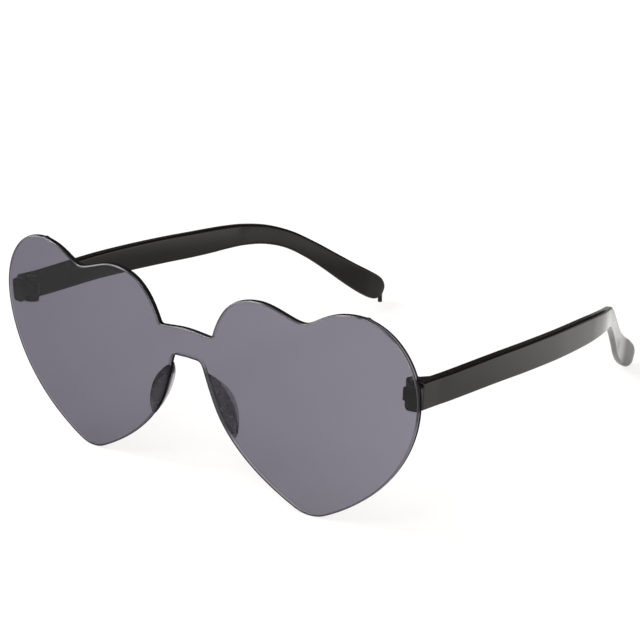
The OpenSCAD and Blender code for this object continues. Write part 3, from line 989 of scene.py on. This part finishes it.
def steel(name):
    """Plated steel, lightly brushed."""
    mat = bpy.data.materials.new(name)
    n = Nodes(mat)
    grain = n.noise(scale=3000, detail=2, stretch=(1, 8, 1))
    colour = n.mix(n.span(grain, *NOISE_RANGE), (0.45, 0.42, 0.38, 1), (0.72, 0.68, 0.62, 1))
    rough = n.span(grain, 0.2, 0.8, to_low=0.18, to_high=0.38)
    n.cover(n.principled(colour, Metallic=1.0, Roughness=rough))
    return mat


# Floor: half its size, colours, and its own brightness as seen
FLOOR_HALF, FLOOR_GREY, FLOOR_WHITE, FLOOR_SEEN = 3.0, 0.85, (1, 0.985, 0.965, 1), 1.1
# Share of its own light by the distance from the middle: from, to, and the shares there
FLOOR_GLOW = (0.3, 1.2, 0.72, 1.0)
# Its brightness in a mirror, along X or Y in metres: from, to, and the levels there. It is
# darker between the temples, which keep light off it, and brighter to the left and behind,
# towards the lit backdrop
LEFT_RISE, LEFT_FALL = (0.015, 0.05, 0.08, 1.35), (0.07, 0.105, 1.35, 1.0)
LEFT_BACK, RIGHT_RISE = (0.11, 0.15, 1.0, 0.5), (-0.02, -0.12, 0.08, 1.0)
BACK_RISE, BACK_FALL = (0.02, 0.12, 0.6, 1.6), (0.12, 0.2, 1.6, 0.45)


def mirrored_floor(n):
    """The brightness of the floor in a mirror."""
    x, y = n.axis(n.place["Object"], "X"), n.axis(n.place["Object"], "Y")
    left = n.calc("MINIMUM", n.span(x, *LEFT_RISE), n.span(x, *LEFT_FALL))
    left = n.calc("MULTIPLY", left, n.span(y, *LEFT_BACK))
    sides = n.calc("MAXIMUM", left, n.span(x, *RIGHT_RISE))
    behind = n.calc("MINIMUM", n.span(y, *BACK_RISE), n.span(y, *BACK_FALL))
    return n.calc("MULTIPLY", sides, behind)


def floor_material():
    """Pale, with the object's shadow, and partly lit by itself where it is seen."""
    mat = bpy.data.materials.new("pale_floor")
    n = Nodes(mat)
    away = n.add("ShaderNodeVectorMath", Vector=n.place["Object"])
    away.operation = "LENGTH"
    seen = n.calc("MAXIMUM", n.ray("Camera"), n.ray("Transmission"))
    seen = n.calc("MAXIMUM", seen, n.ray("Glossy"))
    share = n.calc("MULTIPLY", seen, n.span(away.outputs["Value"], *FLOOR_GLOW))
    # A ray that is both has gone through the tinted sheet, so it isn't a mirrored one
    mirrored = n.calc("SUBTRACT", n.ray("Glossy"), n.ray("Transmission"), clamp=True)
    strength = n.add("ShaderNodeMix")
    n.put(strength.inputs[0], mirrored)
    n.put(strength.inputs[2], FLOOR_SEEN)
    n.put(strength.inputs[3], mirrored_floor(n))
    shaded = n.add("ShaderNodeBsdfDiffuse", Color=grey(FLOOR_GREY))
    lit = n.add("ShaderNodeEmission", Color=FLOOR_WHITE, Strength=strength.outputs[0])
    n.cover(n.blend(share, shaded, lit))
    return mat


def build_floor():
    """A square of the studio's floor, which isn't part of the object."""
    me = bpy.data.meshes.new("floor")
    corners = [(-1, -1), (1, -1), (1, 1), (-1, 1)]
    me.from_pydata([(x * FLOOR_HALF, y * FLOOR_HALF, 0) for x, y in corners], [], [(0, 1, 2, 3)])
    obj = link(bpy.data.objects.new("floor", me))
    me.materials.append(floor_material())


# World: brightness as seen, in mirrors and on matt surfaces, and the heights of direction
# between which the mirrored one falls from white to a dark grey
WORLD_SEEN, WORLD_MIRRORED, WORLD_MATT = 1.0, 0.85, 0.42
WHITE_BELOW, DARK_ABOVE, DARK_GREY = 0.01, 0.14, 0.02


def build_world():
    """A white studio, which mirrors see pale near the horizon and darker above."""
    world = bpy.data.worlds.new("studio")
    bpy.context.scene.world = world
    n = Nodes(world, "ShaderNodeOutputWorld")
    shade = n.add("ShaderNodeValToRGB", Fac=n.axis(n.place["Generated"], "Z"))
    low, high = shade.color_ramp.elements
    low.position, low.color = WHITE_BELOW, grey(1)
    high.position, high.color = DARK_ABOVE, grey(DARK_GREY)
    mirrored = n.add("ShaderNodeBackground", Color=shade.outputs[0], Strength=WORLD_MIRRORED)
    matt = n.add("ShaderNodeBackground", Color=grey(1), Strength=WORLD_MATT)
    white = n.add("ShaderNodeBackground", Color=grey(1), Strength=WORLD_SEEN)
    seen = n.calc("MAXIMUM", n.ray("Camera"), n.ray("Transmission"))
    n.cover(n.blend(seen, n.blend(n.ray("Glossy"), matt, mirrored), white))


# Lamps: name, direction from the target, distance, width and height in metres, and
# brightness in a mirror
LAMP_TARGET = Vector((0, 0, 0.03))
LAMPS = [
    ("overhead", (0.1, 0.25, 1.0), 1.2, 0.8, 0.8, 0.7),
    ("key", (-0.584, -0.364, 0.726), 1.2, 0.5, 0.4, 9.0),
    ("rim", (-0.904, -0.112, 0.41), 1.2, 0.5, 0.4, 5.0),
    ("fill", (0.2, -0.64, 0.74), 0.6, 0.25, 0.15, 6.0),
    ("side", (0.62, -0.69, 0.36), 1.2, 0.35, 0.3, 8.0),
    ("low_side", (0.72, -0.64, 0.12), 1.2, 0.3, 0.2, 9.0),
]


def add_softbox(name, direction, distance, wide, high, radiance):
    """An area lamp that way from the target, with that brightness in a mirror."""
    light = bpy.data.lights.new(name, "AREA")
    light.shape, light.size, light.size_y = "RECTANGLE", wide, high
    light.energy = 4 * radiance * wide * high
    obj = bpy.data.objects.new(name, light)
    way = Vector(direction).normalized()
    obj.location = LAMP_TARGET + way * distance
    obj.rotation_mode = "QUATERNION"
    obj.rotation_quaternion = (-way).to_track_quat("-Z", "Y")
    link(obj)


# Camera, as fitted to the photograph: angles in radians in the front's frame, focal length
# in pixels of an image that wide, and distance and aim in millimetres
YAW, PITCH, ROLL = 0.67759, 0.37306, -0.03162
FOCAL_PX, IMAGE_PX, DISTANCE, AIM = 2150.1, 640, 539.98, Vector((46.489, 0, 13.573))
# Sensor width in millimetres, and the nearest and farthest distance that is drawn, in metres
SENSOR_W, CLIP_NEAR, CLIP_FAR = 36.0, 0.01, 20


def build_camera():
    """The camera at the photograph's place."""
    forward = Vector((-math.sin(YAW) * math.cos(PITCH), math.cos(YAW) * math.cos(PITCH),
                      -math.sin(PITCH)))
    right = Vector((math.cos(YAW), math.sin(YAW), 0))
    up = right.cross(forward)
    turned_right = right * math.cos(ROLL) + up * math.sin(ROLL)
    turned_up = up * math.cos(ROLL) - right * math.sin(ROLL)
    lean = Matrix.Rotation(LEAN, 3, "X")
    axes = Matrix((lean @ turned_right, lean @ turned_up, lean @ -forward)).transposed()
    data = bpy.data.cameras.new("camera")
    data.sensor_width = SENSOR_W
    data.lens = FOCAL_PX / IMAGE_PX * SENSOR_W
    data.clip_start, data.clip_end = CLIP_NEAR, CLIP_FAR
    obj = bpy.data.objects.new("camera", data)
    obj.matrix_world = Matrix.Translation(stand(AIM - forward * DISTANCE)) @ axes.to_4x4()
    bpy.context.scene.camera = link(obj)


# Object
def dress(obj, mat, body, nodes):
    """Gives a piece its material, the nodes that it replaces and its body."""
    obj.data.materials.clear()
    obj.data.materials.append(mat)
    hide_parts(*nodes)
    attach(obj, body)


smoke = tinted_sheet("smoke_sheet", colour=(0.309, 0.287, 0.377, 1), density=972.0)
smoke_pad = frosted_pad_with_painted_light("smoke_pad", colour=(0.3, 0.27, 0.32, 1), density=140.0,
                        clear_y=-0.074, pale_y=-0.0733)
temple_black = black_plastic("gloss_black", (0.0055, 0.0038, 0.0025, 1), (0.0085, 0.0062, 0.0044, 1),
                             rough_low=0.13, rough_high=0.24, stretch=(1, 0.12, 1))
block_black = black_plastic("satin_black", grey(0.006), grey(0.012),
                            rough_low=0.25, rough_high=0.4, stretch=(1, 1, 1))
screw_steel = steel("screw_steel")

dress(build_front(), smoke, "front", ["heart_front"])
for side, word in ((LEFT, "left"), (RIGHT, "right")):
    dress(build_pad("moulded_pad_" + word, side), smoke_pad, "front", ["nose_pad_" + word])
    dress(build_end_piece("hinge_block_" + word, side), block_black, "front",
          ["end_piece_" + word])
    arm = "temple_" + word + "_arm"
    dress(build_temple("arm_" + word, side), temple_black, arm, ["temple_" + word])
    dress(build_screw("slotted_screw_" + word, side), screw_steel, arm,
          ["hinge_screw_" + word])

# Studio
build_floor()
build_world()
for lamp in LAMPS:
    add_softbox(*lamp)
build_camera()

scene = bpy.context.scene
scene.view_settings.view_transform = "Standard"
scene.cycles.caustics_refractive = False
scene.cycles.caustics_reflective = False
